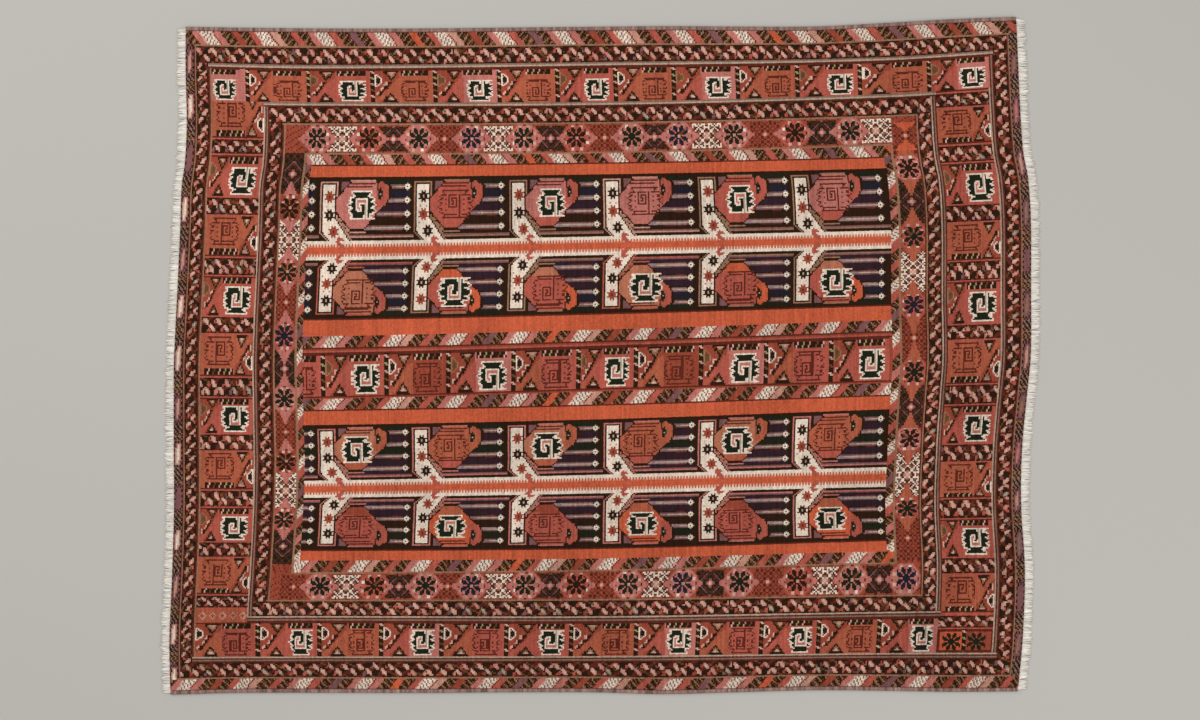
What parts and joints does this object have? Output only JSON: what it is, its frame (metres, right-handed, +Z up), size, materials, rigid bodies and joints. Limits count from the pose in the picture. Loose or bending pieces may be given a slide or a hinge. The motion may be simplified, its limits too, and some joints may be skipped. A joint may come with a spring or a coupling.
{
  "type": "afghan rug",
  "caption": "Hand-knotted wool door rug with a cross-divided field, patterned borders, overcast selvedges and short cut warp fringes at both ends, lying flat.",
  "frame": {"origin": "middle of the underside, on the floor", "axes": "+X along the warps from the left fringe to the right one, +Y across them towards the upper selvedge, +Z up out of the pile"},
  "size_m": [1.6268, 1.2532, 0.0075],
  "materials": {
    "pile_wool": "clipped wool pile in brick red, orange, rose, navy, brown-black and ivory, with streaks where the dye lots change",
    "selvedge_wool": "brownish red wool wrapped round the edge warps",
    "warp_wool": "ivory warp ends, cut short"
  },
  "bodies": {
    "root": {"knotted_cloth": "pile_wool", "selvedge_lower": "selvedge_wool", "selvedge_upper": "selvedge_wool", "fringe_left": "warp_wool", "fringe_right": "warp_wool"}
  },
  "joints": []
}
